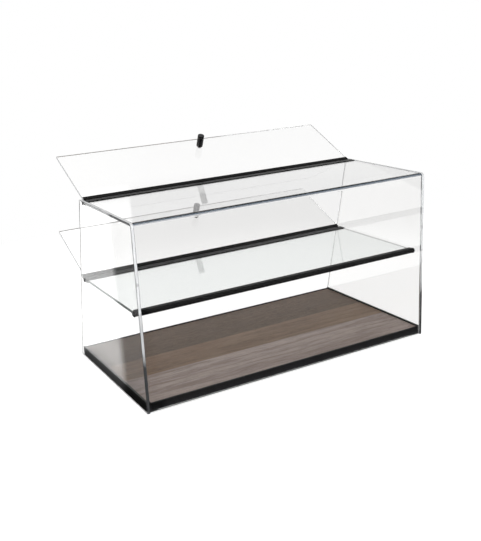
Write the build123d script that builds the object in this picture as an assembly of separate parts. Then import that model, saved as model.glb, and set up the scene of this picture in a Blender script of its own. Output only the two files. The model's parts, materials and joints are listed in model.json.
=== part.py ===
from build123d import *
import math
import os

# Countertop bread display bin, in millimetres: X along its width, Y from the front face to the
# back, Z up from the counter. It is built with X = 0 in the middle and Y = 0 on the front face,
# and moved at the end so that the origin is under the middle of its bounding box.

# ---- Driving dimensions: the clear case ----
case_width = 600.0              # over the two side panels
case_height = 327.0             # counter to the top face
base_depth = 320.0              # side panel, along the counter
top_depth = 237.0               # side panel, along its top edge
panel_thickness = 5.0           # side panels
sheet_thickness = 5.0           # bent front and top sheet
bend_radius = 2.0               # inside the bend
front_lift = 2.5                # counter to the lower edge of the front sheet

# ---- Driving dimensions: the shelf ----
shelf_underside = 168.0         # counter to the glass
glass_thickness = 5.0
shelf_front = 20.5              # front face to the nose of the front profile
nose_height = 9.6               # front profile, a round nose with a slot behind it
nose_depth = 12.6
nose_slot = 5.4                 # how far the glass enters the front profile
bush_diameter = 10.6            # round bush between the front profile and each side panel
bush_length = 2.0               # also keeps the glass off the side panels

# ---- Driving dimensions: the fixed hinge profiles ----
axis_setback = 12.5             # hinge axis to the rear line of the side panels, along Y
axis_drop = 1.2                 # hinge axis below the middle of the sheet or glass
rail_reach = 18.6               # hinge axis to the front of the profile
rail_slot = 7.5                 # how far the sheet or glass enters it
lip_thickness = 0.9             # lips above and below the sheet or glass
socket_wall = 1.3               # wall of the round hinge socket

# ---- Driving dimensions: the two doors ----
bead_diameter = 4.0             # round bead of the door profile, turning in the socket
bead_clearance = 0.06           # bead to socket, on the radius
neck_thickness = 1.4
neck_end_gap = 0.3              # neck to the socket's lips at each end of the swing
socket_gap = 0.6                # door profile to the outside of the socket
clamp_length = 8.6              # door profile, along the door
clamp_height = 6.6              # door profile, across the door
clamp_round = 1.0
clamp_grip = 6.5                # how far the door enters its profile
door_thickness = 4.0
door_reach = 152.5              # hinge axis to the free edge
door_end_gap = 1.2              # door to each side panel
open_angle = 24.8               # raised doors, above the horizontal
knob_diameter = 13.0
knob_height = 25.0
knob_round = 1.5
knob_edge = 26.0                # knob axis to the free edge

# ---- Driving dimensions: the base ----
board_underside = 4.4           # counter to the board
board_thickness = 12.0
trim_thickness = 3.0            # walls of the black rails round the board
front_trim_rise = 0.4           # above the board
side_rail_rise = 2.6
rear_rail_rise = 1.6
rail_floor = 1.0                # counter to the underside of the side and rear rails
flange_width = 16.0             # ledges that carry the board
rear_inset = 8.0                # rear rail to the rear corner of the side panels
bond_thickness = 0.6            # adhesive strips between the rails and the clear sheets
foot_diameter = 11.0
foot_recess = 1.2               # how far a foot sits in its rail
foot_inset = 34.0               # foot to each end of a side rail

# ---- Driving dimensions: the screws ----
end_screw_diameter = 3.0        # through the side panels, into the profile ends
end_screw_length = 16.0
end_screw_hole_gap = 0.15       # screw to its hole in the side panel, on the radius
port_setback = 6.2              # end screw to the hinge axis, along Y
base_screw_diameter = 3.0
base_screw_length = 11.0
base_screws_per_side = 3
base_screw_inset = 60.0         # first and last base screw to each end of a side rail
knob_screw_diameter = 4.0
knob_screw_bite = 10.0          # length inside the knob
knob_head_diameter = 8.0
knob_head_height = 2.2
knob_hole_gap = 0.2             # screw to its hole in the door, on the radius
head_ratio = 2.0                # countersunk head to shank

# ---- Worked out from them ----
inner_half = case_width / 2 - panel_thickness
rear_lean = (base_depth - top_depth) / case_height
lean_angle = math.degrees(math.atan(rear_lean))
bend_outer = bend_radius + sheet_thickness
board_top = board_underside + board_thickness
glass_middle = shelf_underside + glass_thickness / 2
sheet_middle = case_height - sheet_thickness / 2
bead_radius = bead_diameter / 2
socket_inner = bead_radius + bead_clearance
socket_outer = socket_inner + socket_wall
clamp_start = socket_outer + socket_gap
door_start = clamp_start + clamp_length - clamp_grip
door_half = inner_half - door_end_gap
swing_angle = open_angle + 90 - lean_angle
knob_reach = door_reach - knob_edge
rail_half = inner_half - bond_thickness
rear_rail_y = base_depth - rear_inset
trim_front = sheet_thickness + bond_thickness
board_front = trim_front + trim_thickness
board_rear = rear_rail_y - trim_thickness
board_half = rail_half - trim_thickness


def rear_line(height):
    """Y of the side panels' sloping rear edge at a height."""
    return base_depth - rear_lean * height


def block(x_range, y_range, z_range):
    """Box between three pairs of limits."""
    spans = [x_range, y_range, z_range]
    sizes = [high - low for low, high in spans]
    middles = [(high + low) / 2 for low, high in spans]
    return Pos(*middles) * Box(*sizes)


def plate(a_range, b_range):
    """Rectangle between two pairs of limits, in a section."""
    width = a_range[1] - a_range[0]
    height = b_range[1] - b_range[0]
    return Pos(sum(a_range) / 2, sum(b_range) / 2) * Rectangle(width, height)


def along_x(section, x_range):
    """Section drawn in (Y, Z), drawn out along X."""
    drawn = extrude(Plane.YZ * section, x_range[1] - x_range[0], dir=(1, 0, 0))
    return Pos(x_range[0], 0, 0) * drawn


def corner_near(section, a, b):
    """Corner of a section that lies nearest to a point."""
    return section.vertices().sort_by_distance((a, b, 0))[0]


# Hinge axes, as (Y, Z): the upper door hangs on the top sheet, the lower door on the shelf
def hinge_axis(carrier_middle):
    """Axis of the hinge that a sheet or glass with this middle height carries."""
    height = carrier_middle - axis_drop
    return rear_line(height) - axis_setback, height


upper_axis = hinge_axis(sheet_middle)
lower_axis = hinge_axis(glass_middle)
nose_middle = (shelf_front + nose_height / 2, glass_middle)


def port_place(axis):
    """Where the end screw enters a hinge profile."""
    return axis[0] - port_setback, axis[1]


screw_places = {"shelf_front": nose_middle,
                "shelf_rear": port_place(lower_axis),
                "top_rear": port_place(upper_axis)}


# ---- Screws ----
def countersunk(diameter, length, gap=0.0):
    """Countersunk screw from its flat head at Z = 0 down to Z = -length, or its hole with a gap."""
    radius = diameter / 2
    head_radius = radius * head_ratio
    head_depth = head_radius - radius
    head = Pos(0, 0, -head_depth / 2) * Cone(radius + gap, head_radius + gap, head_depth)
    shank = Pos(0, 0, -(head_depth + length) / 2) * Cylinder(radius + gap, length - head_depth)
    return head + shank


def side_screw(side, place, gap=0.0):
    """End screw whose head is flush with the outer face of the left (-1) or right (1) panel."""
    screw = Rot(0, side * 90, 0) * countersunk(end_screw_diameter, end_screw_length, gap)
    return Pos(side * case_width / 2, place[0], place[1]) * screw


def end_screws(side):
    """The three screws through one side panel."""
    return [side_screw(side, place) for place in screw_places.values()]


# ---- The clear case ----
def side_panel(side):
    """Side panel with a sloping rear edge, a rounded top front corner and three screw holes."""
    outline = Polygon((0, 0), (base_depth, 0), (top_depth, case_height), (0, case_height), align=None)
    outline = fillet(corner_near(outline, 0, case_height), bend_outer)
    inner = side * inner_half
    outer = side * case_width / 2
    panel = along_x(outline, (min(inner, outer), max(inner, outer)))
    for place in screw_places.values():
        panel -= side_screw(side, place, end_screw_hole_gap)
    return panel


def top_front_sheet():
    """One sheet bent through a right angle: the front face and the top face."""
    rear = upper_axis[0] - rail_reach + rail_slot
    under = case_height - sheet_thickness
    section = Polygon((0, front_lift), (0, case_height), (rear, case_height), (rear, under),
                      (sheet_thickness, under), (sheet_thickness, front_lift), align=None)
    section = fillet(corner_near(section, 0, case_height), bend_outer)
    section = fillet(corner_near(section, sheet_thickness, under), bend_radius)
    return along_x(section, (-inner_half, inner_half))


# ---- The shelf ----
def shelf_glass():
    """Glass shelf, as long as the front profile, from its slot to the slot of the rear one."""
    half = inner_half - bush_length
    front = shelf_front + nose_depth - nose_slot
    rear = lower_axis[0] - rail_reach + rail_slot
    return block((-half, half), (front, rear), (shelf_underside, shelf_underside + glass_thickness))


def shelf_front_profile():
    """Round-nosed profile along the front edge of the glass, with a screw port in its nose."""
    half = inner_half - bush_length
    rear = shelf_front + nose_depth
    nose = Pos(*nose_middle) * Circle(nose_height / 2)
    body = plate((nose_middle[0], rear), (glass_middle - nose_height / 2, glass_middle + nose_height / 2))
    slot = plate((rear - nose_slot, rear), (shelf_underside, shelf_underside + glass_thickness))
    port = Pos(*nose_middle) * Circle(end_screw_diameter / 2)
    return along_x(nose + body - slot - port, (-half, half))


def shelf_bush(side):
    """Round bush that holds the front profile off a side panel."""
    ring = Circle(bush_diameter / 2) - Circle(end_screw_diameter / 2)
    start = side * (inner_half - bush_length / 2)
    return along_x(Pos(*nose_middle) * ring, (start - bush_length / 2, start + bush_length / 2))


# ---- The hinge profiles ----
def socket_mouth():
    """Opening that the door's neck swings through, from raised down to shut."""
    half = neck_thickness / 2 + neck_end_gap
    far = 3 * socket_outer
    raised = math.radians(open_angle)
    shut = math.radians(open_angle - swing_angle)
    middle = (raised + shut) / 2
    upper_side = (-half * math.sin(raised), half * math.cos(raised))
    lower_side = (half * math.sin(shut), -half * math.cos(shut))
    upper_far = (upper_side[0] + far * math.cos(raised), upper_side[1] + far * math.sin(raised))
    lower_far = (lower_side[0] + far * math.cos(shut), lower_side[1] + far * math.sin(shut))
    outside = (2 * far * math.cos(middle), 2 * far * math.sin(middle))
    return Polygon(lower_side, lower_far, outside, upper_far, upper_side, align=None)


def hinge_profile(axis, carried):
    """Fixed profile: a bar with a slot that grips a sheet of this thickness, and the socket."""
    front = -rail_reach
    low = axis_drop - carried / 2
    high = axis_drop + carried / 2
    bar = plate((front, -socket_inner), (low - lip_thickness, high + lip_thickness))
    bar -= plate((front, front + rail_slot), (low, high))
    section = bar + Circle(socket_outer) - Circle(socket_inner) - socket_mouth()
    section -= Pos(-port_setback, 0) * Circle(end_screw_diameter / 2)
    return along_x(Pos(*axis) * section, (-inner_half, inner_half))


# ---- The doors: modelled flat, with the hinge axis on X and the free edge towards +Y ----
def door_clamp():
    """Door profile: a bead that turns in the socket, a neck and a slot that grips the door."""
    end = clamp_start + clamp_length
    body = plate((clamp_start, end), (-clamp_height / 2, clamp_height / 2))
    body = fillet(body.vertices(), min(clamp_round, clamp_height / 4))
    neck = plate((0, clamp_start), (-neck_thickness / 2, neck_thickness / 2))
    slot = plate((door_start, end), (-door_thickness / 2, door_thickness / 2))
    return along_x(Circle(bead_radius) + neck + body - slot, (-door_half, door_half))


def door_panel():
    """Clear flat door with a hole for the knob's screw."""
    sheet = block((-door_half, door_half), (door_start, door_reach),
                  (-door_thickness / 2, door_thickness / 2))
    hole = Pos(0, knob_reach, 0) * Cylinder(knob_screw_diameter / 2 + knob_hole_gap, door_thickness)
    return sheet - hole


def door_knob():
    """Round knob on the outer face of the door."""
    middle = door_thickness / 2 + knob_height / 2
    knob = Pos(0, knob_reach, middle) * Cylinder(knob_diameter / 2, knob_height)
    knob = fillet(knob.faces().sort_by(Axis.Z)[-1].edges(), knob_round)
    bite = Pos(0, knob_reach, door_thickness / 2 + knob_screw_bite / 2)
    return knob - bite * Cylinder(knob_screw_diameter / 2, knob_screw_bite)


def knob_screw():
    """Pan-head screw through the door into the knob."""
    under = -door_thickness / 2
    length = door_thickness + knob_screw_bite
    shank = Pos(0, knob_reach, under + length / 2) * Cylinder(knob_screw_diameter / 2, length)
    head = Pos(0, knob_reach, under - knob_head_height / 2)
    return shank + head * Cylinder(knob_head_diameter / 2, knob_head_height)


# ---- The base ----
def side_rail_ends():
    """Y limits of the side rails: from the front trim's bond to the rear rail's outer face."""
    return trim_front, rear_rail_y


def foot_places():
    """Centres of the four feet, named by corner."""
    front, rear = side_rail_ends()
    across = rail_half - flange_width / 2
    return {"foot_front_left": (-across, front + foot_inset),
            "foot_front_right": (across, front + foot_inset),
            "foot_rear_left": (-across, rear - foot_inset),
            "foot_rear_right": (across, rear - foot_inset)}


def base_screw_places():
    """Centres of the screws from the side rails up into the board."""
    front, rear = side_rail_ends()
    first = front + base_screw_inset
    step = (rear - front - 2 * base_screw_inset) / (base_screws_per_side - 1)
    across = rail_half - flange_width / 2
    rows = [first + step * index for index in range(base_screws_per_side)]
    return [(side * across, row) for side in (-1, 1) for row in rows]


def base_board():
    """Board between the rails, with blind holes for its screws."""
    board = block((-board_half, board_half), (board_front, board_rear), (board_underside, board_top))
    return board - base_screw_cutters()


def base_screw(place):
    """Countersunk screw, head down in the underside of a side rail."""
    screw = Rot(180, 0, 0) * countersunk(base_screw_diameter, base_screw_length)
    return Pos(place[0], place[1], rail_floor) * screw


def base_screw_cutters():
    """All base screws, as one tool for the holes that they fill."""
    return Part() + [base_screw(place) for place in base_screw_places()]


def foot(place):
    """Rubber foot, let into the underside of a side rail."""
    height = rail_floor + foot_recess
    return Pos(place[0], place[1], height / 2) * Cylinder(foot_diameter / 2, height)


def side_rail(side):
    """L-shaped rail: a wall against the side panel and a ledge under the board."""
    front, rear = side_rail_ends()
    top = board_top + side_rail_rise
    wall_range = sorted((side * board_half, side * rail_half))
    ledge_range = sorted((side * (rail_half - flange_width), side * rail_half))
    rail = block(wall_range, (front, rear), (rail_floor, top))
    rail += block(ledge_range, (front, rear), (rail_floor, board_underside))
    rail -= base_screw_cutters()
    for place in foot_places().values():
        rail -= foot(place)
    return rail


def front_trim():
    """L-shaped trim behind the front sheet, between the side rails."""
    half = board_half
    ledge_half = rail_half - flange_width
    top = board_top + front_trim_rise
    wall = block((-half, half), (trim_front, board_front), (board_underside, top))
    lower = block((-ledge_half, ledge_half), (trim_front, board_front), (front_lift, board_underside))
    ledge = block((-ledge_half, ledge_half), (board_front, trim_front + flange_width),
                  (front_lift, board_underside))
    return wall + lower + ledge


def rear_rail():
    """L-shaped rail along the rear edge of the board, between the side rails."""
    ledge_half = rail_half - flange_width
    top = board_top + rear_rail_rise
    wall = block((-board_half, board_half), (board_rear, rear_rail_y), (board_underside, top))
    lower = block((-ledge_half, ledge_half), (board_rear, rear_rail_y), (rail_floor, board_underside))
    ledge = block((-ledge_half, ledge_half), (rear_rail_y - flange_width, board_rear),
                  (rail_floor, board_underside))
    return wall + lower + ledge


def side_bond(side):
    """Adhesive strip between a side rail and its side panel."""
    front, rear = side_rail_ends()
    across = sorted((side * rail_half, side * inner_half))
    return block(across, (front, rear), (rail_floor, board_top + side_rail_rise))


def front_bond():
    """Adhesive strip between the front trim and the front sheet."""
    return block((-board_half, board_half), (sheet_thickness, trim_front),
                 (board_underside, board_top + front_trim_rise))


# ---- Every piece, by the name of its file ----
pieces = {
    "left_side_panel": [side_panel(-1)],
    "right_side_panel": [side_panel(1)],
    "top_front_sheet": [top_front_sheet()],
    "shelf_glass": [shelf_glass()],
    "shelf_front_profile": [shelf_front_profile()],
    "shelf_left_bush": [shelf_bush(-1)],
    "shelf_right_bush": [shelf_bush(1)],
    "shelf_rear_profile": [hinge_profile(lower_axis, glass_thickness)],
    "top_rear_profile": [hinge_profile(upper_axis, sheet_thickness)],
    "left_end_screws": end_screws(-1),
    "right_end_screws": end_screws(1),
    "base_board": [base_board()],
    "base_left_rail": [side_rail(-1)],
    "base_right_rail": [side_rail(1)],
    "base_front_trim": [front_trim()],
    "base_rear_rail": [rear_rail()],
    "base_screws": [base_screw(place) for place in base_screw_places()],
    "left_bond_strip": [side_bond(-1)],
    "right_bond_strip": [side_bond(1)],
    "front_bond_strip": [front_bond()],
}
for name, place in foot_places().items():
    pieces[name] = [foot(place)]
for door, axis in (("upper", upper_axis), ("lower", lower_axis)):
    hung = Pos(0, *axis) * Rot(open_angle, 0, 0)
    pieces[door + "_door_clamp"] = [hung * door_clamp()]
    pieces[door + "_door_panel"] = [hung * door_panel()]
    pieces[door + "_door_knob"] = [hung * door_knob()]
    pieces[door + "_knob_screw"] = [hung * knob_screw()]

# The origin goes under the middle of the whole bin, doors raised
boxes = [solid.bounding_box() for group in pieces.values() for solid in group]
front_y = min(box.min.Y for box in boxes)
rear_y = max(box.max.Y for box in boxes)
centred = Pos(0, -(front_y + rear_y) / 2, 0)

os.makedirs("parts", exist_ok=True)
for name, group in pieces.items():
    solids = [centred * solid for solid in group]
    shape = solids[0] if len(solids) == 1 else Compound(children=solids)
    export_step(shape, "parts/" + name + ".step")

shift = (front_y + rear_y) / 2
print("front face at Y", round(-shift, 4))
print("upper hinge axis Y, Z", round(upper_axis[0] - shift, 4), round(upper_axis[1], 4))
print("lower hinge axis Y, Z", round(lower_axis[0] - shift, 4), round(lower_axis[1], 4))
print("swing, degrees", round(swing_angle, 3))
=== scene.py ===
# %% [markdown]
# # Countertop bread display bin
# A clear acrylic case with a glass shelf, a wood-look board in black rails and two flap doors that
# stand open at the back. Its solids come packed from the CAD source. This script gives each of
# them its real edges and its surface, and shows them in a plain product studio.
#
# Every length below is in metres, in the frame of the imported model: X along the bin's width,
# Y from the front to the back, Z up from the counter.

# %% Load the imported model
import json
import math
import bmesh
import bpy
from mathutils import Matrix, Vector


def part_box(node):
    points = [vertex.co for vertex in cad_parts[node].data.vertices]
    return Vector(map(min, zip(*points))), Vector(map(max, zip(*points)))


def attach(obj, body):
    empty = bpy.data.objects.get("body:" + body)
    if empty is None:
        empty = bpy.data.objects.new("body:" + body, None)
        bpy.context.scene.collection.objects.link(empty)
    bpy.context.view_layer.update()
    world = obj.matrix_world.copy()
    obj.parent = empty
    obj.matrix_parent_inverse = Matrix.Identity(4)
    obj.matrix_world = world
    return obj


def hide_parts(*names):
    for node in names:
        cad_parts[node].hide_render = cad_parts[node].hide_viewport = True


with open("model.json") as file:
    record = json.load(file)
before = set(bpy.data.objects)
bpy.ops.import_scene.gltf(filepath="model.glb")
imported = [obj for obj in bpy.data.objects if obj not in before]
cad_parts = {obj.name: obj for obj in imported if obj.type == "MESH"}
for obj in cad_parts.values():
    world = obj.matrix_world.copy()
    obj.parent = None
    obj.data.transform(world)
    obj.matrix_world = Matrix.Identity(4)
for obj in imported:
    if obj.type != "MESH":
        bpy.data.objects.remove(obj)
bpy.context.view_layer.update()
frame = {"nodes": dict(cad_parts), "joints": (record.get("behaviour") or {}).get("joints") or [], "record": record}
mm = 0.001

# %% [markdown]
# ## The camera
# The eye is 1.35 m in front of the bin's middle, 0.75 m to its left and 0.62 m above the counter,
# so the left panel is seen at a flat angle and the front sheet more squarely. Three angles turn
# the camera: heading, pitch and a slight roll. Its matrix is put together by hand, because the
# roll is then easy to follow: it mixes the level direction and the one that points down.

# %% Camera
eye = Vector((-0.7537, -1.3526, 0.6211))
heading = math.radians(29.263)
pitch = math.radians(17.148)
roll = math.radians(2.938)
focal_pixels = 812.5
image_height_pixels = 541.0

looking = Vector((math.sin(heading) * math.cos(pitch),
                  math.cos(heading) * math.cos(pitch),
                  -math.sin(pitch)))
level = Vector((math.cos(heading), -math.sin(heading), 0.0))
down = looking.cross(level)
image_right = level * math.cos(roll) + down * math.sin(roll)
image_up = level * math.sin(roll) - down * math.cos(roll)

camera_data = bpy.data.cameras.new("studio_camera")
camera_data.sensor_fit = "VERTICAL"
camera_data.sensor_height = 36.0
camera_data.sensor_width = 36.0
camera_data.lens = focal_pixels / image_height_pixels * camera_data.sensor_height
camera_data.clip_start = 0.05
camera_data.clip_end = 60.0
camera = bpy.data.objects.new("studio_camera", camera_data)
turn = Matrix((image_right, image_up, -looking)).transposed()
camera.matrix_world = Matrix.Translation(eye) @ turn.to_4x4()
bpy.context.scene.collection.objects.link(camera)
bpy.context.scene.camera = camera
print("eye", [round(value, 3) for value in eye], "lens", round(camera_data.lens, 2), "mm")

# %% [markdown]
# ## Arithmetic for materials
# A material here is a short sum: a slow tone, a fine grain, a few marks. It could be wired node by
# node, but a sum is easier to read and to change. `Field` wraps one socket and takes Python's own
# operators, and each of them adds a Math node.

# %% Field
class Field:
    """One value of a material, which can be added, multiplied and so on."""

    def __init__(self, finish, socket):
        self.finish = finish
        self.socket = socket

    def maths(self, operation, first, second):
        node = self.finish.add("ShaderNodeMath", {"operation": operation}, {0: first, 1: second})
        return Field(self.finish, node.outputs[0])

    def __add__(self, other):
        return self.maths("ADD", self, other)

    def __radd__(self, other):
        return self.maths("ADD", other, self)

    def __sub__(self, other):
        return self.maths("SUBTRACT", self, other)

    def __rsub__(self, other):
        return self.maths("SUBTRACT", other, self)

    def __mul__(self, other):
        return self.maths("MULTIPLY", self, other)

    def __rmul__(self, other):
        return self.maths("MULTIPLY", other, self)

    def __pow__(self, other):
        return self.maths("POWER", self, other)

    def __abs__(self):
        return self.maths("ABSOLUTE", self, 0.0)

    def smaller(self, other):
        return self.maths("MINIMUM", self, other)

    def larger(self, other):
        return self.maths("MAXIMUM", self, other)

    def mixed(self, other, share):
        """This value where share is 0, the other one where it is 1."""
        return self + share * (other - self)

    def ramp(self, low, high):
        """0 below low, 1 above high, and smooth between them."""
        settings = {"interpolation_type": "SMOOTHSTEP", "clamp": True}
        node = self.finish.add("ShaderNodeMapRange", settings, {0: self, 1: low, 2: high, 3: 0.0, 4: 1.0})
        return Field(self.finish, node.outputs[0])


# %% [markdown]
# `Finish` holds the nodes of one material. Its methods are the few things that every finish here
# is made of: a place on the piece, noise, cells, a blend of two colours, a relief and a shader.

# %% Finish
class Finish:
    """The nodes of one material, or of the world."""

    def __init__(self, name, owner=None):
        self.material = owner or bpy.data.materials.new(name)
        self.material.use_nodes = True
        self.tree = self.material.node_tree
        self.tree.nodes.clear()

    def add(self, kind, settings=None, inputs=None):
        """A node of any kind: its settings first, then its sockets' values and links."""
        node = self.tree.nodes.new(kind)
        for name, value in (settings or {}).items():
            setattr(node, name, value)
        for key, value in (inputs or {}).items():
            source = value.socket if isinstance(value, Field) else value
            if isinstance(source, bpy.types.NodeSocket):
                self.tree.links.new(source, node.inputs[key])
            else:
                node.inputs[key].default_value = source
        return node

    def place(self, along=1.0, across=1.0, height=1.0):
        """The point on the piece, multiplied along each axis."""
        point = self.add("ShaderNodeTexCoord").outputs["Object"]
        node = self.add("ShaderNodeVectorMath", {"operation": "MULTIPLY"},
                        {0: point, 1: (along, across, height)})
        return node.outputs[0]

    def axes(self):
        """The three coordinates of the point, in metres."""
        split = self.add("ShaderNodeSeparateXYZ", None, {0: self.place()})
        return [Field(self, output) for output in split.outputs]

    def noise(self, place, scale, detail=2.0, rough=0.5, warp=0.0):
        """Soft noise from 0 to 1."""
        inputs = {"Vector": place, "Scale": scale, "Detail": detail, "Roughness": rough, "Distortion": warp}
        return Field(self, self.add("ShaderNodeTexNoise", None, inputs).outputs[0])

    def cells(self, place, scale, feature="F1"):
        """Distance to the nearest of many scattered points, or to the border between two."""
        inputs = {"Vector": place, "Scale": scale}
        return Field(self, self.add("ShaderNodeTexVoronoi", {"feature": feature}, inputs).outputs["Distance"])

    def blend(self, share, first, second):
        """First colour where share is 0, second where it is 1."""
        node = self.add("ShaderNodeMix", {"data_type": "RGBA"}, {0: share, 6: first, 7: second})
        return node.outputs[2]

    def relief(self, height, depth, strength=1.0, under=None):
        """Bump of a height that runs from 0 to 1 over this depth in metres."""
        inputs = {"Height": height, "Distance": depth, "Strength": strength}
        if under is not None:
            inputs["Normal"] = under
        return self.add("ShaderNodeBump", None, inputs).outputs[0]

    def inside(self, tint, density):
        """The tint that light takes on along its way through a clear piece."""
        return self.add("ShaderNodeVolumeAbsorption", None, {"Color": tint, "Density": density}).outputs[0]

    def glow(self, strength):
        """An even white light of its own."""
        return self.add("ShaderNodeEmission", None, {"Color": white, "Strength": strength}).outputs[0]

    def output(self, surface, volume=None):
        """Connects the shader to the surface, and a second one to the inside."""
        inputs = {"Surface": surface}
        if volume is not None:
            inputs["Volume"] = volume
        self.add("ShaderNodeOutputMaterial", None, inputs)
        print(self.material.name, len(self.tree.nodes), "nodes")
        return self.material

    def solid(self, **inputs):
        """One Principled shader with these sockets, as an opaque or clear surface."""
        named = {name.replace("_", " "): value for name, value in inputs.items()}
        return self.add("ShaderNodeBsdfPrincipled", None, named).outputs[0]


# %% Colours
white = (1.0, 1.0, 1.0, 1.0)


def tone(red, green, blue):
    """A colour given by its 0 to 255 screen values, as a linear colour."""
    linear = [(value / 255 / 12.92) if value <= 10 else ((value / 255 + 0.055) / 1.055) ** 2.4
              for value in (red, green, blue)]
    return (*linear, 1.0)


print("screen value 128 as a linear one", round(tone(128, 128, 128)[0], 4))

# %% [markdown]
# ## Clear acrylic
# The case and the doors are cast acrylic with flame-polished edges. The sheet is almost without
# colour, and only light that runs far along it takes on its cool tint, so the tint belongs inside
# the sheet and not on its face. Handling leaves dull smudges and a few hair scratches.

# %% Acrylic
acrylic_index = 1.491
acrylic_inside = {"tint": (0.74, 0.82, 0.88, 1.0), "density": 0.9}


def clear_acrylic():
    finish = Finish("clear_acrylic")
    smudge = finish.noise(finish.place(), 9.0, 3.0, 0.6).ramp(0.60, 0.78)
    wipe = finish.noise(finish.place(6.0, 40.0, 34.0), 3.0, 3.0, 0.55, 0.6).ramp(0.62, 0.76)
    haze = 0.004 + 0.020 * smudge + 0.012 * wipe
    hair = finish.cells(finish.place(7.0, 60.0, 9.0), 5.0, "DISTANCE_TO_EDGE")
    scratch = 1 - hair.ramp(0.0006, 0.0030)
    kept = finish.noise(finish.place(), 14.0, 1.0).ramp(0.58, 0.66)
    normal = finish.relief(scratch * kept, 0.010 * mm, 0.10)
    colour = finish.blend(smudge * 0.5, (0.992, 0.990, 0.986, 1.0), (0.982, 0.980, 0.975, 1.0))
    sheet = finish.solid(Base_Color=colour, Roughness=haze, IOR=acrylic_index,
                         Transmission_Weight=1.0, Normal=normal)
    return finish.output(sheet, finish.inside(**acrylic_inside))


acrylic = clear_acrylic()

# %% [markdown]
# Along the bend the sheet was softened over a hot wire, and its skin there is very slightly
# orange-peeled. The steel-blue line along the bend is a painted reflection: half of the shader is
# clear and half has that colour, which is simpler than a skin of its own.

# %% Bent acrylic
def bent_acrylic():
    finish = Finish("bent_acrylic")
    peel = finish.noise(finish.place(1.0, 3.0, 3.0), 150.0, 2.0, 0.5)
    heat_and_reflection = finish.noise(finish.place(4.0, 40.0, 40.0), 5.0, 3.0, 0.6)
    # painted reflection: the bend's steel-blue colour stands in for what the bend mirrors
    colour = finish.blend(heat_and_reflection, (0.13, 0.17, 0.23, 1.0), (0.22, 0.27, 0.33, 1.0))
    surface = finish.solid(Base_Color=colour, Roughness=0.03 + 0.05 * heat_and_reflection, IOR=acrylic_index,
                           Transmission_Weight=0.50, Normal=finish.relief(peel, 0.02 * mm, 0.4))
    return finish.output(surface, finish.inside(**acrylic_inside))


bend_painted_reflection = bent_acrylic()

# %% [markdown]
# A sawn and flame-polished edge is clear but a little wavy and milky, and its pale milky colour is
# partly painted light, for the brightness that leaves a sheet by its edge. Its rounded corners get
# painted reflections: thin dark lines on the panels and grey ones on the doors. Beside the board
# and its black rails the edges get a painted dark reflection of them. Where the bent sheet meets a
# side panel, solvent leaves a grey seam. One function makes all four, because only their tone and
# clearness differ.

# %% Edges of the acrylic
# heights over which the painted dark reflection of the black rails fades out on the edges
painted_rail_reflection_heights = (0.090, 0.125)


def edge_acrylic(name, dark, light, clear):
    """Narrow face of a sheet, of which this share is clear and the rest has the given colour, with a painted dark
    reflection beside the base.
    """
    finish = Finish(name)
    saw = finish.noise(finish.place(), 420.0, 3.0, 0.6)
    flame = finish.noise(finish.place(), 60.0, 2.0, 0.5)
    z = finish.axes()[2]
    # painted reflection: low on the case the edges are painted almost black, for the black rails that they mirror
    low = 1 - (z + 0.02 * flame).ramp(*painted_rail_reflection_heights)
    milky = finish.blend(flame.ramp(0.35, 0.65), dark, light)
    # the low part of the edge takes the painted near-black reflection colour
    colour = finish.blend(low * 0.9, milky, (0.020, 0.022, 0.026, 1.0))
    surface = finish.solid(Base_Color=colour, Roughness=0.02 + 0.04 * saw, IOR=acrylic_index,
                           Transmission_Weight=clear, Normal=finish.relief(flame, 0.02 * mm, 0.12))
    return finish.output(surface, finish.inside(**acrylic_inside))


# partly painted light: the pale milky colour of the narrow faces stands in for some of the light that leaves a
# sheet by its edge
edge_clear = edge_acrylic("acrylic_edge", (0.93, 0.94, 0.95, 1.0), (0.98, 0.985, 0.99, 1.0), 0.52)
# painted reflections: dark lines along the panels' rounded corners and grey ones along the doors'
corner_painted_reflection = edge_acrylic("acrylic_corner", (0.04, 0.045, 0.055, 1.0), (0.09, 0.10, 0.11, 1.0), 0.30)
door_corner_painted_reflection = edge_acrylic("acrylic_door_corner", (0.30, 0.31, 0.33, 1.0), (0.42, 0.43, 0.45, 1.0), 0.45)
edge_seam = edge_acrylic("acrylic_seam", (0.22, 0.23, 0.25, 1.0), (0.36, 0.37, 0.39, 1.0), 0.45)

# %% [markdown]
# Where the black adhesive wets the sheet there is no air behind it, so light that runs along the
# sheet is swallowed instead of mirrored. That face of the sheet is black when seen through it,
# so it gets a material of its own: the strip behind it can't darken a face that mirrors.

# %% Bonded face of the acrylic
def bonded_face():
    finish = Finish("bonded_face")
    flow = finish.noise(finish.place(1.0, 1.0, 3.0), 160.0, 3.0, 0.6)
    void = finish.cells(finish.place(), 420.0).ramp(0.10, 0.16)
    colour = finish.blend(void, tone(46, 46, 49), tone(26, 26, 29))
    roughness = 0.45 + 0.2 * flow
    surface = finish.solid(Base_Color=colour, Roughness=roughness, IOR=1.45, Specular_IOR_Level=0.2,
                           Normal=finish.relief(flow, 0.05 * mm, 0.3))
    return finish.output(surface)


bonded = bonded_face()

# %% [markdown]
# ## Shelf glass
# Ordinary float glass looks clear through its 5 mm and dark green along its length. Its edges are
# ground and polished. The green is an absorption inside, so it deepens by itself where light runs
# far through the glass, and the edges only add a dark, faintly rough skin.

# %% Glass
glass_index = 1.52
glass_inside = {"tint": (0.06, 0.52, 0.36, 1.0), "density": 4.5}


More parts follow.
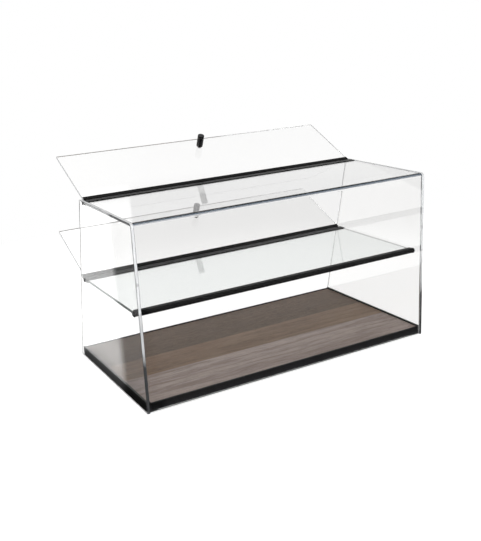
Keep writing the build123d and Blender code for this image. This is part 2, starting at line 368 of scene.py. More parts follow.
def shelf_glass():
    finish = Finish("shelf_glass")
    dust = finish.cells(finish.place(), 260.0).ramp(0.04, 0.08)
    smear = finish.noise(finish.place(3.0, 9.0, 3.0), 5.0, 3.0, 0.6).ramp(0.58, 0.76)
    haze = 0.012 - 0.008 * dust + 0.016 * smear
    colour = finish.blend(smear, (0.990, 0.998, 0.995, 1.0), (0.975, 0.985, 0.982, 1.0))
    surface = finish.solid(Base_Color=colour, Roughness=haze, IOR=glass_index, Transmission_Weight=1.0)
    return finish.output(surface, finish.inside(**glass_inside))


glass = shelf_glass()


def glass_edge():
    finish = Finish("glass_edge")
    ground = finish.noise(finish.place(), 700.0, 3.0, 0.6)
    colour = finish.blend(ground, (0.010, 0.040, 0.030, 1.0), (0.030, 0.085, 0.065, 1.0))
    surface = finish.solid(Base_Color=colour, Roughness=0.22 + 0.14 * ground, IOR=glass_index,
                           Specular_IOR_Level=0.3, Transmission_Weight=0.15)
    return finish.output(surface, finish.inside(**glass_inside))


glass_side = glass_edge()

# %% [markdown]
# ## Black plastic
# The profiles are extruded, so they carry fine draw lines along X. Noise that is stretched along
# X gives those lines, and broader ones the uneven black and the rubbed places. A low specular
# level keeps the long round fronts as black as the real ones.

# %% Extruded profiles
plastic_index = 1.5


def black_profile():
    finish = Finish("black_profile")
    lines = finish.noise(finish.place(0.5, 300.0, 300.0), 9.0, 4.0, 0.7)
    broad = finish.noise(finish.place(1.5, 40.0, 40.0), 4.0, 2.0)
    rub = finish.noise(finish.place(12.0, 30.0, 30.0), 6.0, 4.0, 0.65).ramp(0.58, 0.74)
    colour = finish.blend(0.55 * broad + 0.35 * rub, tone(6, 6, 7), tone(19, 18, 18))
    roughness = 0.24 + 0.12 * lines + 0.10 * rub
    surface = finish.solid(Base_Color=colour, Roughness=roughness, IOR=plastic_index,
                           Specular_IOR_Level=0.08, Normal=finish.relief(lines, 0.02 * mm, 0.5))
    return finish.output(surface)


profile_black = black_profile()

# %% [markdown]
# The knobs and bushes are moulded with a spark-eroded grain, which hands polish where they touch
# it. The rails of the base are duller, with fine lines along them and a few scuffs from plates.

# %% Moulded knobs and bushes
def black_moulding():
    finish = Finish("black_moulding")
    grain = finish.noise(finish.place(), 2600.0, 3.0, 0.6)
    cloud = finish.noise(finish.place(), 130.0, 3.0, 0.55)
    polish = cloud.ramp(0.50, 0.72)
    colour = finish.blend(0.7 * cloud, tone(13, 13, 14), tone(32, 32, 34))
    roughness = 0.38 - 0.12 * polish + 0.08 * grain
    surface = finish.solid(Base_Color=colour, Roughness=roughness, IOR=plastic_index,
                           Normal=finish.relief(grain, 0.03 * mm, 0.5))
    return finish.output(surface)


moulding_black = black_moulding()

# %% Rails of the base
def black_rail():
    finish = Finish("black_rail")
    lines = finish.noise(finish.place(2.0, 2.0, 420.0), 6.0, 3.0, 0.6)
    grain = finish.noise(finish.place(), 1500.0, 2.0, 0.6)
    scuff = finish.noise(finish.place(20.0, 20.0, 60.0), 5.0, 4.0, 0.7).ramp(0.60, 0.76)
    colour = finish.blend(0.4 * lines + 0.5 * scuff, tone(13, 13, 15), tone(32, 32, 35))
    roughness = 0.38 + 0.14 * lines + 0.08 * grain - 0.08 * scuff
    normal = finish.relief(grain, 0.03 * mm, 0.4)
    surface = finish.solid(Base_Color=colour, Roughness=roughness, IOR=plastic_index,
                           Specular_IOR_Level=0.34, Normal=finish.relief(lines, 0.02 * mm, 0.4, normal))
    return finish.output(surface)


rail_black = black_rail()

# %% [markdown]
# ## Board
# The board is a wood-look laminate: a greyed walnut whose grain runs along the bin. A pale strip
# along the front is painted light, for the sheen and brighter light that fall on the front of the
# board, and the board is darker along the rear. It is built from slow tones, a drawn-out figure,
# fine streaks and short pores, all stretched along X, because noise never repeats as a tiled
# texture does. The print lies under a satin film, so the pores are only slightly dull.

# %% Wood board
# where the painted light on the front of the board fades out, along Y
painted_front_light_end = (-0.0905, -0.0885)
rear_strip_start = (-0.0125, -0.0105)


def wood_board():
    finish = Finish("wood_board")
    sway = finish.noise(finish.place(3.0, 3.0, 3.0), 1.6, 2.0)
    x, y, z = finish.axes()
    drift = y + 0.020 * sway
    bent = finish.add("ShaderNodeCombineXYZ", None, {0: x, 1: drift, 2: z}).outputs[0]

    def drawn_out(across):
        """The point, pressed together across the grain so that a noise on it runs along X."""
        return finish.add("ShaderNodeVectorMath", {"operation": "MULTIPLY"},
                          {0: bent, 1: (1.0, across, across)}).outputs[0]

    painted_front_light = 1 - y.ramp(*painted_front_light_end)
    rear_strip = y.ramp(*rear_strip_start)
    figure = finish.noise(drawn_out(20.0), 3.2, 5.0, 0.62, 0.8)
    ribbon = finish.noise(drawn_out(34.0), 10.0, 4.0, 0.66, 0.4)
    fibre = finish.noise(drawn_out(14.0), 90.0, 3.0, 0.6).ramp(0.40, 0.62)
    streak = finish.noise(drawn_out(26.0), 24.0, 5.0, 0.70)
    pore = finish.noise(drawn_out(26.0), 55.0, 2.0, 0.6).ramp(0.60, 0.70)
    cloud = finish.noise(finish.place(4.0, 7.0, 1.0), 1.6, 3.0, 0.55)
    middle = finish.blend(cloud.ramp(0.36, 0.64), tone(145, 117, 95), tone(162, 135, 112))
    # painted light: the front of the board is painted pale, for the sheen and light that fall there
    front = finish.blend(painted_front_light * 0.90, middle, tone(204, 188, 183))
    strips = finish.blend(rear_strip * 0.75, front, tone(88, 76, 66))
    warm = finish.blend(figure.ramp(0.42, 0.62) * 0.45, strips, tone(104, 80, 63))
    pale = finish.blend(ribbon.ramp(0.50, 0.68) * 0.18, warm, tone(164, 144, 128))
    drawn = finish.blend(streak.ramp(0.44, 0.64) * 0.45, pale, tone(88, 70, 57))
    grained = finish.blend(fibre * 0.28, drawn, tone(168, 148, 132))
    colour = finish.blend(pore * 0.55, grained, tone(62, 49, 41))
    height = 1 - 0.7 * pore - 0.2 * streak
    surface = finish.solid(Base_Color=colour, Roughness=0.38 + 0.10 * streak + 0.12 * pore,
                           IOR=plastic_index, Specular_IOR_Level=0.22,
                           Normal=finish.relief(height, 0.05 * mm, 0.35))
    return finish.output(surface)


board_wood = wood_board()

# %% [markdown]
# ## Small parts
# Painted black screws hold the profiles, bright ones hold the base and the knobs. Both have fine
# marks from turning and wear where a key was set, so one function makes them. Paint hides the
# metal, so the black ones are no metal to the shader: black metal would shine at a flat angle.

# %% Screw finishes
def screw_finish(name, dark, light, rough, metal, shine):
    """A turned surface from a dark to a worn, light colour: a metal where metal is 1."""
    finish = Finish(name)
    turned = finish.noise(finish.place(), 900.0, 3.0, 0.6)
    worn = finish.noise(finish.place(), 240.0, 3.0, 0.6).ramp(0.52, 0.70)
    colour = finish.blend(0.3 * turned + 0.6 * worn, dark, light)
    surface = finish.solid(Base_Color=colour, Metallic=metal, IOR=plastic_index,
                           Specular_IOR_Level=shine, Roughness=rough + 0.14 * turned - 0.05 * worn,
                           Normal=finish.relief(turned, 0.02 * mm, 0.4))
    return finish.output(surface)


screw_black = screw_finish("black_screw", tone(14, 14, 16), tone(46, 46, 48), 0.34, 0.0, 0.12)
screw_steel = screw_finish("steel_screw", (0.46, 0.46, 0.47, 1.0), (0.66, 0.66, 0.67, 1.0), 0.24, 1.0, 0.5)

# %% [markdown]
# The feet are soft rubber with a pale bloom and a fine pitted skin. The case is bonded to its base
# with a strip of black adhesive, whose skin is slightly uneven.

# %% Feet and adhesive
def rubber_foot():
    finish = Finish("rubber_foot")
    bloom = finish.noise(finish.place(), 300.0, 4.0, 0.6)
    grain = finish.cells(finish.place(), 1900.0)
    colour = finish.blend(bloom, tone(20, 20, 20), tone(48, 47, 46))
    surface = finish.solid(Base_Color=colour, Roughness=0.72 + 0.18 * bloom, Specular_IOR_Level=0.35,
                           Normal=finish.relief(grain, 0.06 * mm, 0.5))
    return finish.output(surface)


def bond_strip():
    finish = Finish("bond_strip")
    skin = finish.noise(finish.place(1.0, 1.0, 2.0), 210.0, 4.0, 0.6)
    colour = finish.blend(skin, tone(12, 12, 13), tone(30, 30, 32))
    surface = finish.solid(Base_Color=colour, Roughness=0.40 + 0.25 * skin,
                           Normal=finish.relief(skin, 0.08 * mm, 0.4))
    return finish.output(surface)


foot_rubber = rubber_foot()
strip_black = bond_strip()
print("materials", len(bpy.data.materials))

# %% [markdown]
# ## Real edges
# A cut sheet, an extrusion or a moulding never has a knife edge. Each solid is copied, its
# triangles are joined back into whole faces and its edges are rounded by the amount that its
# process leaves. The copy takes the solid's place and moves with the same body. A Bevel modifier
# does the rounding, because it finds the edges by their angle, whatever the part's outline is.

# %% Bodies of the nodes
body_of_node = {}
for body, members in frame["record"]["behaviour"]["bodies"].items():
    for node in members:
        body_of_node[node] = body
    print(body, "has", len(members), "nodes")

# %% Copy a solid
merge_distance = 1e-6
same_face_angle = math.radians(0.4)


def whole_faces(node):
    """The solid's mesh with its triangles joined into whole faces."""
    mesh = bmesh.new()
    mesh.from_mesh(frame["nodes"][node].data)
    bmesh.ops.remove_doubles(mesh, verts=mesh.verts, dist=merge_distance)
    bmesh.ops.dissolve_limit(mesh, angle_limit=same_face_angle, verts=mesh.verts, edges=mesh.edges)
    return mesh


def as_object(mesh, name, *materials):
    """An object from a bmesh, with no normals left over from the import."""
    data = bpy.data.meshes.new(name)
    mesh.to_mesh(data)
    mesh.free()
    for attribute in ("custom_normal", "UVMap"):
        if attribute in data.attributes:
            data.attributes.remove(data.attributes[attribute])
    for material in materials:
        data.materials.append(material)
    made = bpy.data.objects.new(name, data)
    bpy.context.scene.collection.objects.link(made)
    return made


def applied(made):
    """Replaces the object's mesh by what its modifiers make of it."""
    graph = bpy.context.evaluated_depsgraph_get()
    result = bpy.data.meshes.new_from_object(made.evaluated_get(graph), depsgraph=graph)
    made.modifiers.clear()
    made.data = result


def fitted(made, node):
    """The object stands for this solid and moves with its body."""
    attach(made, body_of_node[node])
    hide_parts(node)
    print(made.name, len(made.data.polygons), "faces")


# %% Round its edges
flat_angle = 28.0


def smooth_up_to(made, degrees):
    """Shades the object smooth, except over edges that are sharper than this."""
    made.data.shade_smooth()
    made.data.set_sharp_from_angle(angle=math.radians(degrees))


def rounded(made, width, segments=2, corner_slot=-1):
    """Rounds the object's sharp edges, keeps its flat faces flat and can paint the roundings."""
    smooth_up_to(made, flat_angle)
    bevel = made.modifiers.new("edge", "BEVEL")
    bevel.width = width
    bevel.segments = segments
    bevel.limit_method = "ANGLE"
    bevel.angle_limit = math.radians(flat_angle)
    bevel.harden_normals = True
    bevel.miter_outer = "MITER_SHARP"
    bevel.material = corner_slot
    applied(made)
    return made


# %% Paint the edges of a sheet
face_on = 0.9


def paint_edges(mesh, across, slot):
    """Gives the narrow faces of a sheet, those not facing along this direction, a slot."""
    mesh.normal_update()
    for face in mesh.faces:
        if abs(face.normal.dot(across)) < face_on and face.material_index == 0:
            face.material_index = slot


# %% [markdown]
# ## The clear case
# The case is bonded to its base, so black strips of adhesive lie against the inner faces of its
# three sheets. Each face is cut along the strip's outline before its edges are rounded, and the
# part inside gets the bonded material. A separate black skin would have to float in front.

# %% Mark the bonded faces
same_level = 1e-5
bonded_slot = 1


def mark_bonded(mesh, axis, level_at, strip):
    """Cuts the flat face at this level along the strip's outline and paints the part inside."""
    low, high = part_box(strip)
    others = [index for index in range(3) if index != axis]

    def is_flat(face):
        return all(abs(vertex.co[axis] - level_at) < same_level for vertex in face.verts)

    for index in others:
        for limit in (low[index], high[index]):
            faces = [face for face in mesh.faces if is_flat(face)]
            edges = list({edge for face in faces for edge in face.edges})
            corners = list({vertex for face in faces for vertex in face.verts})
            point = Vector((0.0, 0.0, 0.0))
            point[index] = limit
            normal = Vector((0.0, 0.0, 0.0))
            normal[index] = 1.0
            bmesh.ops.bisect_plane(mesh, geom=faces + edges + corners, dist=merge_distance,
                                   plane_co=point, plane_no=normal)
    marked = 0
    for face in mesh.faces:
        middle = face.calc_center_median()
        inside = all(low[index] < middle[index] < high[index] for index in others)
        if is_flat(face) and inside:
            face.material_index = bonded_slot
            marked += 1
    print(strip, "marks", marked, "faces")


# %% [markdown]
# The side panels are cut from 5 mm sheet. Their outline comes with the solid, so only the edges
# are made here: clear and milky on the narrow faces, a painted dark reflection along each rounding.

# %% Side panels
panel_polish = 0.35 * mm
panel_slots = (acrylic, bonded, edge_clear, corner_painted_reflection)
for side in ("left", "right"):
    node = side + "_side_panel"
    low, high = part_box(node)
    inner_face = high.x if side == "left" else low.x
    mesh = whole_faces(node)
    mark_bonded(mesh, 0, inner_face, side + "_bond_strip")
    paint_edges(mesh, Vector((1.0, 0.0, 0.0)), panel_slots.index(edge_clear))
    panel = as_object(mesh, node + "_clear", *panel_slots)
    panel = rounded(panel, panel_polish, 2, panel_slots.index(corner_painted_reflection))
    fitted(panel, node)

# %% [markdown]
# The front and the top are one sheet, bent over a hot wire. The bend is drawn here with more steps
# than the solid's mesh has, because a clear round bend shows each of its flats: an outline in Y
# and Z is made from two quarter turns and drawn along X.

# %% Skin over rings
def skinned(rings):
    """Closed mesh over a row of rings of points, with a face on the first and on the last."""
    mesh = bmesh.new()
    rows = [[mesh.verts.new(point) for point in ring] for ring in rings]
    count = len(rings[0])
    for lower, upper in zip(rows, rows[1:]):
        for index in range(count):
            after = (index + 1) % count
            mesh.faces.new((lower[index], lower[after], upper[after], upper[index]))
    mesh.faces.new(list(reversed(rows[0])))
    mesh.faces.new(rows[-1])
    bmesh.ops.recalc_face_normals(mesh, faces=mesh.faces)
    return mesh


def quarter(middle_y, middle_z, radius, steps):
    """Points of a quarter turn from facing the front to facing up."""
    turns = [math.pi / 2 * step / steps for step in range(steps + 1)]
    return [(middle_y - radius * math.cos(t), middle_z + radius * math.sin(t)) for t in turns]


# %% Bent front and top sheet
sheet_low, sheet_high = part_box("top_front_sheet")
sheet = 5.0 * mm
bend_outside = 7.0 * mm
bend_steps = 28
joint_line = 0.04 * mm
bent_polish = 0.25 * mm
bend_turned = 0.60
bent_slots = (acrylic, bonded, bend_painted_reflection, edge_seam)

bend_y = sheet_low.y + bend_outside
bend_z = sheet_high.z - bend_outside
outer = quarter(bend_y, bend_z, bend_outside, bend_steps)
inner = quarter(bend_y, bend_z, bend_outside - sheet, bend_steps)
outline = [(sheet_low.y, sheet_low.z)] + outer + [(sheet_high.y, sheet_high.z)]
outline += [(sheet_high.y, sheet_high.z - sheet)] + inner[::-1] + [(sheet_low.y + sheet, sheet_low.z)]
ends = (sheet_low.x + joint_line, sheet_high.x - joint_line)
mesh = skinned([[(x, y, z) for y, z in outline] for x in ends])
mark_bonded(mesh, 1, sheet_low.y + sheet, "front_bond_strip")
mesh.normal_update()
# the faces of the bend get the material with the painted reflection
for face in mesh.faces:
    if abs(face.normal.x) > face_on:
        face.material_index = bent_slots.index(edge_seam)
    elif min(abs(face.normal.y), abs(face.normal.z)) > bend_turned:
        face.material_index = bent_slots.index(bend_painted_reflection)
bent = rounded(as_object(mesh, "top_front_sheet_clear", *bent_slots), bent_polish)
fitted(bent, "top_front_sheet")

# %% [markdown]
# ## Doors and shelf
# Each door is a 4 mm sheet that hangs from its hinge bead, and it is packed standing open, so its
# narrow faces are found with the door's own direction. The shelf is a plain pane with ground
# edges.

# %% Doors and glass shelf
hinge_pins = {joint["child"]: Vector(joint["pos_m"]) for joint in frame["joints"]}
open_angle = math.radians(24.8)
door_normal = Vector((0.0, -math.sin(open_angle), math.cos(open_angle)))
door_polish = 0.30 * mm
glass_polish = 0.45 * mm
door_slots = (acrylic, edge_clear, door_corner_painted_reflection)
glass_slots = (glass, glass_side)
for door in ("upper_door", "lower_door"):
    mesh = whole_faces(door + "_panel")
    paint_edges(mesh, door_normal, door_slots.index(edge_clear))
    pane = as_object(mesh, door + "_panel_clear", *door_slots)
    pane = rounded(pane, door_polish, 2, door_slots.index(door_corner_painted_reflection))
    fitted(pane, door + "_panel")
mesh = whole_faces("shelf_glass")
paint_edges(mesh, Vector((0.0, 0.0, 1.0)), glass_slots.index(glass_side))
pane = rounded(as_object(mesh, "shelf_glass_polished", *glass_slots), glass_polish)
fitted(pane, "shelf_glass")
print("doors stand open", round(math.degrees(open_angle), 1), "degrees")

# %% [markdown]
# ## Profiles, board, rails and strips
# Each takes the edge that its making leaves: the tight corner of an extrusion die on the profiles,
# a soft one on the moulded bushes, a broken one on the board and the rails. Their outlines are
# right in the solids, so a table of finish, edge and steps is all they need.

# %% Edges by finish
dressing = {
    "black_profile": (profile_black, "_drawn", 0.12, 2,
                      ("shelf_front_profile", "shelf_rear_profile", "top_rear_profile",
                       "upper_door_clamp", "lower_door_clamp")),
    "black_moulding": (moulding_black, "_moulded", 0.35, 3, ("shelf_left_bush", "shelf_right_bush")),
    "wood_board": (board_wood, "_faced", 0.30, 2, ("base_board",)),
    "black_rail": (rail_black, "_dressed", 0.25, 2,
                   ("base_left_rail", "base_right_rail", "base_front_trim", "base_rear_rail")),
    "bond_strip": (strip_black, "_bead", 0.10, 2,
                   ("left_bond_strip", "right_bond_strip", "front_bond_strip")),
}
for slot, (material, ending, edge, steps, nodes) in dressing.items():
    for node in nodes:
        made = rounded(as_object(whole_faces(node), node + ending, material), edge * mm, steps)
        fitted(made, node)

# %% [markdown]
# ## Knobs
# Each knob is turned round: a fine groove above its foot, a straight side, and a soft shoulder
# under a faintly dished top. It is a shape of revolution, so rings of points round the axis and a
# skin over them make it, with a ring wherever the outline changes.

# %% Turned shapes
def ring_of(radius, around, height):
    """Points of a circle round Z."""
    angles = [2 * math.pi * step / around for step in range(around)]
    return [(radius * math.cos(a), radius * math.sin(a), height) for a in angles]


def turned(outside, around):
    """Closed mesh of revolution about Z; outside is its (radius, height) profile."""
    return skinned([ring_of(radius, around, height) for radius, height in outside])


def shoulder(radius, height, round_off, steps):
    """Profile of a rounded shoulder, from the side up to the top."""
    turns = [math.pi / 2 * step / steps for step in range(steps + 1)]
    return [(radius - round_off + round_off * math.cos(t), height - round_off + round_off * math.sin(t))
            for t in turns]


# %% Place of a knob
knob_reach = 126.5 * mm
door_half_thick = 2.0 * mm


def door_place(door):
    """Moves a shape from the knob's own frame onto the outer face of an open door."""
    hung = Matrix.Translation(hinge_pins[door]) @ Matrix.Rotation(open_angle, 4, "X")
    return hung @ Matrix.Translation((0.0, knob_reach, door_half_thick))


# %% Knobs
knob_radius = 6.5 * mm
knob_height = 25.0 * mm
knob_round_off = 1.5 * mm
knob_crease = 40.0
knob_outside = [(5.9 * mm, 0.0), (6.35 * mm, 0.15 * mm), (knob_radius, 0.6 * mm), (knob_radius, 1.2 * mm),
                (6.42 * mm, 1.5 * mm), (6.42 * mm, 1.8 * mm), (knob_radius, 2.1 * mm)]
knob_outside += shoulder(knob_radius, knob_height, knob_round_off, 8)
knob_outside += [(4.2 * mm, knob_height - 0.12 * mm), (2.0 * mm, knob_height - 0.22 * mm),
                 (0.5 * mm, knob_height - 0.25 * mm)]
for door in ("upper_door", "lower_door"):
    mesh = turned(knob_outside, 64)
    mesh.transform(door_place(door))
    knob = as_object(mesh, door + "_knob_turned", moulding_black)
    smooth_up_to(knob, knob_crease)
    fitted(knob, door + "_knob")

# %% [markdown]
# ## Screws and feet
# Every screw has a hexagon socket. Its head and its thread are rings like the knob's, and the
# socket's rings go back down from the top. A hexagon gets as many points as a circle has, so the
# skin runs from one to the other without a gap.

# %% A screw with a hexagon socket
screw_around = 48
sixth = math.pi / 3


def socket_ring(flats, around, height):
    """Points of a hexagon, as many as a ring round it has."""
    points = []
    for step in range(around):
        angle = 2 * math.pi * step / around
        nearest = round(angle / sixth) * sixth
        reach = flats / 2 / math.cos(angle - nearest)
        points.append((reach * math.cos(angle), reach * math.sin(angle), height))
    return points


def socket_screw(outside, flats, depth, top):
    """Screw of revolution whose top has a hexagon socket; outside is its (radius, height) profile."""
    rings = [ring_of(radius, screw_around, height) for radius, height in outside]
    rings += [socket_ring(flats, screw_around, top)]
    rings += [socket_ring(flats * 0.97, screw_around, top - depth)]
    rings += [ring_of(flats * 0.2, screw_around, top - depth * 1.15)]
    return skinned(rings)


def threaded(radius, low, high, pitch):
    """Profile of a shank with shallow thread grooves."""
    rings = []
    count = int((high - low) / pitch)
    for index in range(count):
        base = low + pitch * index
        rings += [(radius * 0.86, base), (radius, base + pitch * 0.45), (radius, base + pitch * 0.60)]
    return rings + [(radius * 0.98, high)]


# %% [markdown]
# The same screw repeats along the panels and the rails, and the same foot under each corner. A
# Geometry Nodes tree sets one shape on every place, turns each about its own axis as a hand
# leaves it, and gives all of them one material. A Python loop over copies would do, but in the
# tree the shape, the places and the seed stay inputs that can be changed.

# %% The repeating tree
def repeating_tree():
    """Geometry Nodes: one shape on every point, each with its own turn about the axis."""
    tree = bpy.data.node_groups.new("set_on_places", "GeometryNodeTree")
    sockets = {"Places": "Geometry", "Shape": "Object", "Lean": "Rotation", "Seed": "Int",
               "Finish": "Material"}
    for name, kind in sockets.items():
        tree.interface.new_socket(name=name, in_out="INPUT", socket_type="NodeSocket" + kind)
    tree.interface.new_socket(name="Pieces", in_out="OUTPUT", socket_type="NodeSocketGeometry")

    def add(kind, links=None):
        """A node of any kind, with links to its sockets."""
        node = tree.nodes.new(kind)
        for key, source in (links or {}).items():
            tree.links.new(source, node.inputs[key])
        return node

    given = add("NodeGroupInput").outputs
    shape = add("GeometryNodeObjectInfo", {"Object": given["Shape"]})
    chance = add("FunctionNodeRandomValue", {"Seed": given["Seed"]})
    chance.data_type = "FLOAT"
    chance.inputs[2].default_value = 0.0
    chance.inputs[3].default_value = 2 * math.pi
    spin = add("ShaderNodeCombineXYZ", {"Z": chance.outputs[1]})
    spin_turn = add("FunctionNodeEulerToRotation", {0: spin.outputs[0]})
    leant = add("FunctionNodeRotateRotation", {0: given["Lean"], 1: spin_turn.outputs[0]})
    leant.rotation_space = "LOCAL"
    put = add("GeometryNodeInstanceOnPoints", {"Points": given["Places"],
                                               "Instance": shape.outputs["Geometry"],
                                               "Rotation": leant.outputs[0]})
    real = add("GeometryNodeRealizeInstances", {0: put.outputs[0]})
    paint = add("GeometryNodeSetMaterial", {"Geometry": real.outputs[0], "Material": given["Finish"]})
    add("NodeGroupOutput", {0: paint.outputs[0]})
    return tree


place_tree = repeating_tree()
print(place_tree.name, len(place_tree.nodes), "nodes")

# %% Set a shape on its places
small_crease = 32.0


def set_on_places(name, shape_mesh, places, lean, seed, material):
    """One mesh with the shape on every place."""
    shape = as_object(shape_mesh, name + "_shape", material)
    smooth_up_to(shape, small_crease)
    cloud = bpy.data.meshes.new(name)
    cloud.from_pydata([tuple(place) for place in places], [], [])
    made = bpy.data.objects.new(name, cloud)
    bpy.context.scene.collection.objects.link(made)
    modifier = made.modifiers.new("set_on_places", "NODES")
    modifier.node_group = place_tree
    values = {"Shape": shape, "Lean": lean, "Seed": seed, "Finish": material}
    for item in place_tree.interface.items_tree:
        if item.in_out == "INPUT" and item.name in values:
            modifier[item.identifier] = values[item.name]
    applied(made)
    bpy.data.objects.remove(shape)
    print(name, "has", len(places), "places")
    return made


# %% [markdown]
# Three screws in each side panel hold the ends of the profiles: one the shelf's front profile,
# two the hinge profiles. They are countersunk flush, so their place is the panel's outer face and
# they lean over by a quarter turn to point into the case.

# %% A countersunk screw
countersunk_radius = 1.5 * mm
countersunk_pitch = 0.8 * mm
flush = -0.005 * mm


def countersunk_screw(tip, thread_start, flats, depth):
    """Screw with its head flush at height 0 and its shank pointing down."""
    shank = threaded(countersunk_radius, thread_start, -2.0 * mm, countersunk_pitch)
    head = [(countersunk_radius, -1.5 * mm), (2.96 * mm, -0.10 * mm), (2.98 * mm, -0.04 * mm),
            (2.92 * mm, flush)]
    return socket_screw(tip + shank + head, flats, depth, flush)


# %% End screws
front_face = sheet_low.y
screw_rows = [(front_face + 25.3 * mm, 170.5 * mm)]
screw_rows += [(pin.y - 6.2 * mm, pin.z) for pin in hinge_pins.values()]
case_half = 300.0 * mm
end_tip = [(0.3 * mm, -15.9 * mm), (0.9 * mm, -15.2 * mm)]
for side, sign, seed in (("left", -1, 3), ("right", 1, 8)):
    places = [(sign * case_half, y, z) for y, z in screw_rows]
    end_screw = countersunk_screw(end_tip, -14.8 * mm, 1.9 * mm, 1.0 * mm)
    screws = set_on_places(side + "_end_screws_set", end_screw, places,
                           (0.0, sign * math.pi / 2, 0.0), seed, screw_black)
    fitted(screws, side + "_end_screws")

# %% [markdown]
# Six shorter screws go up through the side rails into the board. They point upwards, so their
# lean is a half turn, and their heads lie 1 mm above the counter.

# %% Base screws
rail_middle = 286.4 * mm
rail_underside = 1.0 * mm
base_screw_ys = [front_face + step * mm for step in (65.6, 158.8, 252.0)]
base_tip = [(0.3 * mm, -10.9 * mm), (0.9 * mm, -10.2 * mm)]
base_screw = countersunk_screw(base_tip, -9.8 * mm, 2.0 * mm, 0.9 * mm)
places = [(sign * rail_middle, y, rail_underside) for sign in (-1, 1) for y in base_screw_ys]
under = set_on_places("base_screws_set", base_screw, places, (math.pi, 0.0, 0.0), 5, screw_steel)
fitted(under, "base_screws")

# %% [markdown]
# The feet are small rubber buttons in the same rails, turned from one profile with a soft foot
# edge.

# %% Feet
foot_y = {"front": front_face + 39.6 * mm, "rear": front_face + 278.0 * mm}
foot_x = {"left": -rail_middle, "right": rail_middle}
foot_outside = [(4.9 * mm, 0.0), (5.25 * mm, 0.08 * mm), (5.42 * mm, 0.3 * mm), (5.48 * mm, 0.9 * mm),
                (5.48 * mm, 2.15 * mm), (5.2 * mm, 2.2 * mm)]
foot_seed = 11
for row in ("front", "rear"):
    for side in ("left", "right"):
        node = "foot_" + row + "_" + side
        foot = set_on_places(node + "_soft", turned(foot_outside, 48),
                             [(foot_x[side], foot_y[row], 0.0)], (0.0, 0.0, 0.0), foot_seed, foot_rubber)
        fitted(foot, node)
        foot_seed += 1

# %% [markdown]
# A pan-head screw under each door goes up into the knob. It is made upright, turned over, moved
# through the door's thickness and then hung on the door like the knob itself.

# %% Knob screws
def knob_screw():
    """Screw with its pan head above height 0 and its shank pointing down."""
    tip = [(0.4 * mm, -13.9 * mm), (1.6 * mm, -13.4 * mm)]
    shank = threaded(1.98 * mm, -13.2 * mm, -0.2 * mm, 0.7 * mm)
    pan = [(3.6 * mm, 0.0), (3.96 * mm, 0.12 * mm), (4.0 * mm, 0.5 * mm)]
    dome = [(4.0 * mm - 1.1 * mm * (1 - math.cos(t)), 1.1 * mm + 1.08 * mm * math.sin(t))
            for t in (0.0, 0.4, 0.8, 1.2, 1.5)]
    top = 2.2 * mm
    return socket_screw(tip + shank + pan + dome, 2.5 * mm, 1.4 * mm, top - 0.02 * mm)


for tier in ("upper", "lower"):
    mesh = knob_screw()
    mesh.transform(Matrix.Rotation(math.pi, 4, "X"))
    mesh.transform(Matrix.Translation((0.0, 0.0, -2 * door_half_thick)))
    mesh.transform(door_place(tier + "_door"))
    pin = as_object(mesh, tier + "_knob_screw_pan", screw_steel)
    smooth_up_to(pin, small_crease)
    fitted(pin, tier + "_knob_screw")

# %% [markdown]
# ## Studio
# Clear plastic shows little of its own and mostly what stands around it: a pale table that fades
# into a white sweep. The polished edges and corners need something dark to mirror as well, or they
# would vanish. A real studio has black flags for that. Here Light Path tells the rays apart, and
# the floor and the world answer each kind in its own way.

# %% Kinds of rays
class Ray:
    """Which ray arrives, each kind as a share from 0 to 1."""

    def __init__(self, finish):
        path = finish.add("ShaderNodeLightPath").outputs
        # straight from the camera, out of a sheet, or off a shiny face
        self.straight = Field(finish, path["Is Camera Ray"])
        self.through = Field(finish, path["Is Transmission Ray"])
        self.mirrored = Field(finish, path["Is Glossy Ray"])
        # by way of a matt face, or not
        self.gathered = Field(finish, path["Diffuse Depth"]).smaller(1.0)
        self.clear = 1 - self.gathered
        # out of a sheet in which nothing mirrored it
        self.unbent = self.through * (1 - Field(finish, path["Glossy Depth"]).smaller(1.0))


# %% Floor
floor_half = 9.0
floor_mesh = bmesh.new()
bmesh.ops.create_grid(floor_mesh, x_segments=1, y_segments=1, size=floor_half)
floor_data = bpy.data.meshes.new("studio_floor")
floor_mesh.to_mesh(floor_data)
floor_mesh.free()
floor = bpy.data.objects.new("studio_floor", floor_data)
bpy.context.scene.collection.objects.link(floor)
print("floor", 2 * floor_half, "m wide")

# %% [markdown]
# To the camera the floor is matt paper with the bin's own shadow, lifted a little and fading to
# pure white between 0.3 m and 1 m from the bin. Rays that went straight through the sheets see it
# white too, with painted light in a strip beside the left panel. Rays that were mirrored on the way
# see a painted shadow at the foot of the case, and a dark floor in front of it and to its left,
# which draws the edges and seams as fine lines.

# %% Floor material
case_middle_y = -0.042
case_half_depth = 0.16
sweep_fade = (0.30, 1.0)
camera_lift = 0.42
dark_in_front = 0.13
dark_at_left = 0.16


def paper_table(finish, ray):
    """Matt paper that keeps shadows, and looks a little brighter to the camera."""
    paper = finish.noise(finish.place(), 60.0, 3.0, 0.6)
    plain = finish.blend(paper, (0.84, 0.84, 0.84, 1.0), (0.88, 0.88, 0.88, 1.0))
    normal = finish.relief(paper, 0.02 * mm, 0.2)
    matt = finish.add("ShaderNodeBsdfDiffuse", None, {"Color": plain, "Roughness": 0.3, "Normal": normal})
    lift = finish.glow(ray.straight * camera_lift)
    return finish.add("ShaderNodeAddShader", None, {0: matt.outputs[0], 1: lift}).outputs[0]


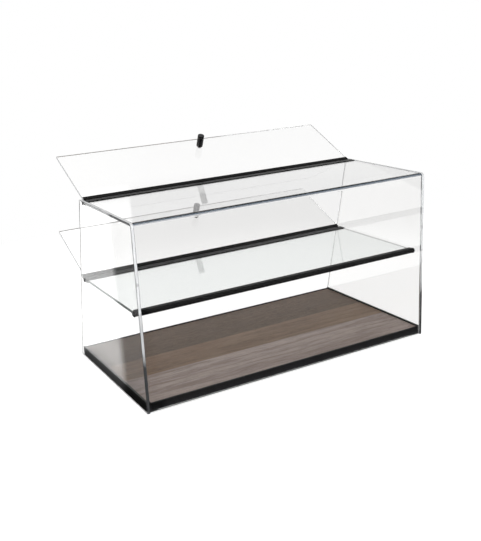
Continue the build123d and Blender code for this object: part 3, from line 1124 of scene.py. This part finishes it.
def level_for_sheets(ray, x, y, away):
    """How bright the floor is to a ray that comes from a sheet."""
    # a line on the floor from under the eye past the case's left front corner: to its left the
    # side panel is looked through at a flat angle and takes more light, which the floor makes up with
    # painted light, a bright strip along the line and a little more beyond it
    sight_line = x - 0.398 * y + 0.215
    left_part = 1 - sight_line.ramp(-0.30, 0.25)
    painted_light_beside = (1 - sight_line.ramp(-0.012, 0.004)) * (1 - away.ramp(1.10, 1.70))
    seen_through = 1.10 - 0.13 * away.ramp(0.30, 0.80) + 0.12 * away.ramp(1.10, 1.80)
    seen_through = seen_through + 0.03 * left_part + 0.44 * painted_light_beside
    # mirrored rays: a painted shadow at the foot of the case, and dark in front of it and to its left
    # beyond the line that the side panel mirrors to the eye
    painted_foot_shadow = 0.14 + 0.90 * away.ramp(0.005, 0.045) - 0.22 * away.ramp(0.45, 0.95)
    past_front = y.ramp(-0.235, -0.195)
    past_left = (x + 0.366 * y + 0.332).ramp(-0.014, 0.004)
    level = painted_foot_shadow.mixed(seen_through, ray.through)
    level = level * (dark_in_front + (1 - dark_in_front) * past_front)
    level = level * (dark_at_left + (1 - dark_at_left) * past_left)
    return level.mixed(seen_through, ray.unbent)


def pale_floor():
    finish = Finish("pale_floor")
    ray = Ray(finish)
    x, y = finish.axes()[:2]
    out_x = (abs(x) - case_half).larger(0.0)
    out_y = (abs(y - case_middle_y) - case_half_depth).larger(0.0)
    away = (out_x * out_x + out_y * out_y) ** 0.5
    sweep = finish.glow(ray.straight + (1 - ray.straight) * level_for_sheets(ray, x, y, away))
    share = ray.straight * away.ramp(*sweep_fade) + ray.through.larger(ray.mirrored) * ray.clear
    table = paper_table(finish, ray)
    whole = finish.add("ShaderNodeMixShader", None, {0: share, 1: table, 2: sweep})
    return finish.output(whole.outputs[0])


floor_data.materials.append(pale_floor())

# %% [markdown]
# The world does the same above the floor. It is white to the camera and to rays that went straight
# through, and an even room to rays from matt surfaces, so the solid parts are lit plainly. Rays
# that were mirrored see a pale wall under a darker ceiling, and a dim room in front of the bin.

# %% World
world = bpy.data.worlds.new("studio_world")
bpy.context.scene.world = world
sky = Finish("studio_world", world)
ray = Ray(sky)
direction = sky.add("ShaderNodeTexCoord").outputs["Generated"]
split = sky.add("ShaderNodeSeparateXYZ", None, {0: direction})
to_y = Field(sky, split.outputs["Y"])
to_z = Field(sky, split.outputs["Z"])
even_room = 1.05
wall = 0.33 + 0.36 * (1 - to_z.ramp(0.45, 0.86))
dim_room = 0.12 + 0.42 * to_z.ramp(0.15, 0.40)
in_front = (0 - to_y).ramp(0.05, 0.40)
indirect = wall.mixed(dim_room, in_front).mixed(even_room, ray.gathered)
strength = indirect.mixed(1.0, ray.straight.larger(ray.unbent * ray.clear))
background = sky.add("ShaderNodeBackground", None, {"Color": white, "Strength": strength})
sky.add("ShaderNodeOutputWorld", None, {"Surface": background.outputs[0]})
print("studio_world", len(sky.tree.nodes), "nodes")

# %% [markdown]
# Two softboxes give the solid parts their soft shine and shadow: a key light over the left
# shoulder of whoever looks at the front, and a weaker one overhead. Area lights are used because
# their size softens a shadow's edge, as a softbox does.

# %% Soft lights
aim = Vector((0.0, 0.0, 0.1))


def soft_light(name, place, width, depth, power):
    """A rectangular softbox at a place, turned towards the bin."""
    data = bpy.data.lights.new(name, "AREA")
    data.shape = "RECTANGLE"
    data.size = width
    data.size_y = depth
    data.energy = power
    lamp = bpy.data.objects.new(name, data)
    facing = (aim - Vector(place)).to_track_quat("-Z", "Y")
    lamp.matrix_world = Matrix.Translation(place) @ facing.to_matrix().to_4x4()
    bpy.context.scene.collection.objects.link(lamp)
    print(name, power, "W")


soft_light("key_softbox", (-0.55, -1.15, 2.0), 1.0, 0.7, 11.0)
soft_light("top_softbox", (0.35, 0.35, 2.4), 1.4, 1.0, 7.0)

# %% [markdown]
# ## View and light paths
# The standard view shows a colour as it is written. Light runs along the inside of a sheet in
# dozens of mirror steps before it leaves by an edge, so the paths have to be long for the edges to
# come out bright.

# %% View
bpy.context.scene.view_settings.view_transform = "Standard"
cycles = bpy.context.scene.cycles
cycles.max_bounces = 64
cycles.glossy_bounces = 64
cycles.transmission_bounces = 32
cycles.diffuse_bounces = 4
cycles.transparent_max_bounces = 8
print("longest path", cycles.max_bounces, "steps")
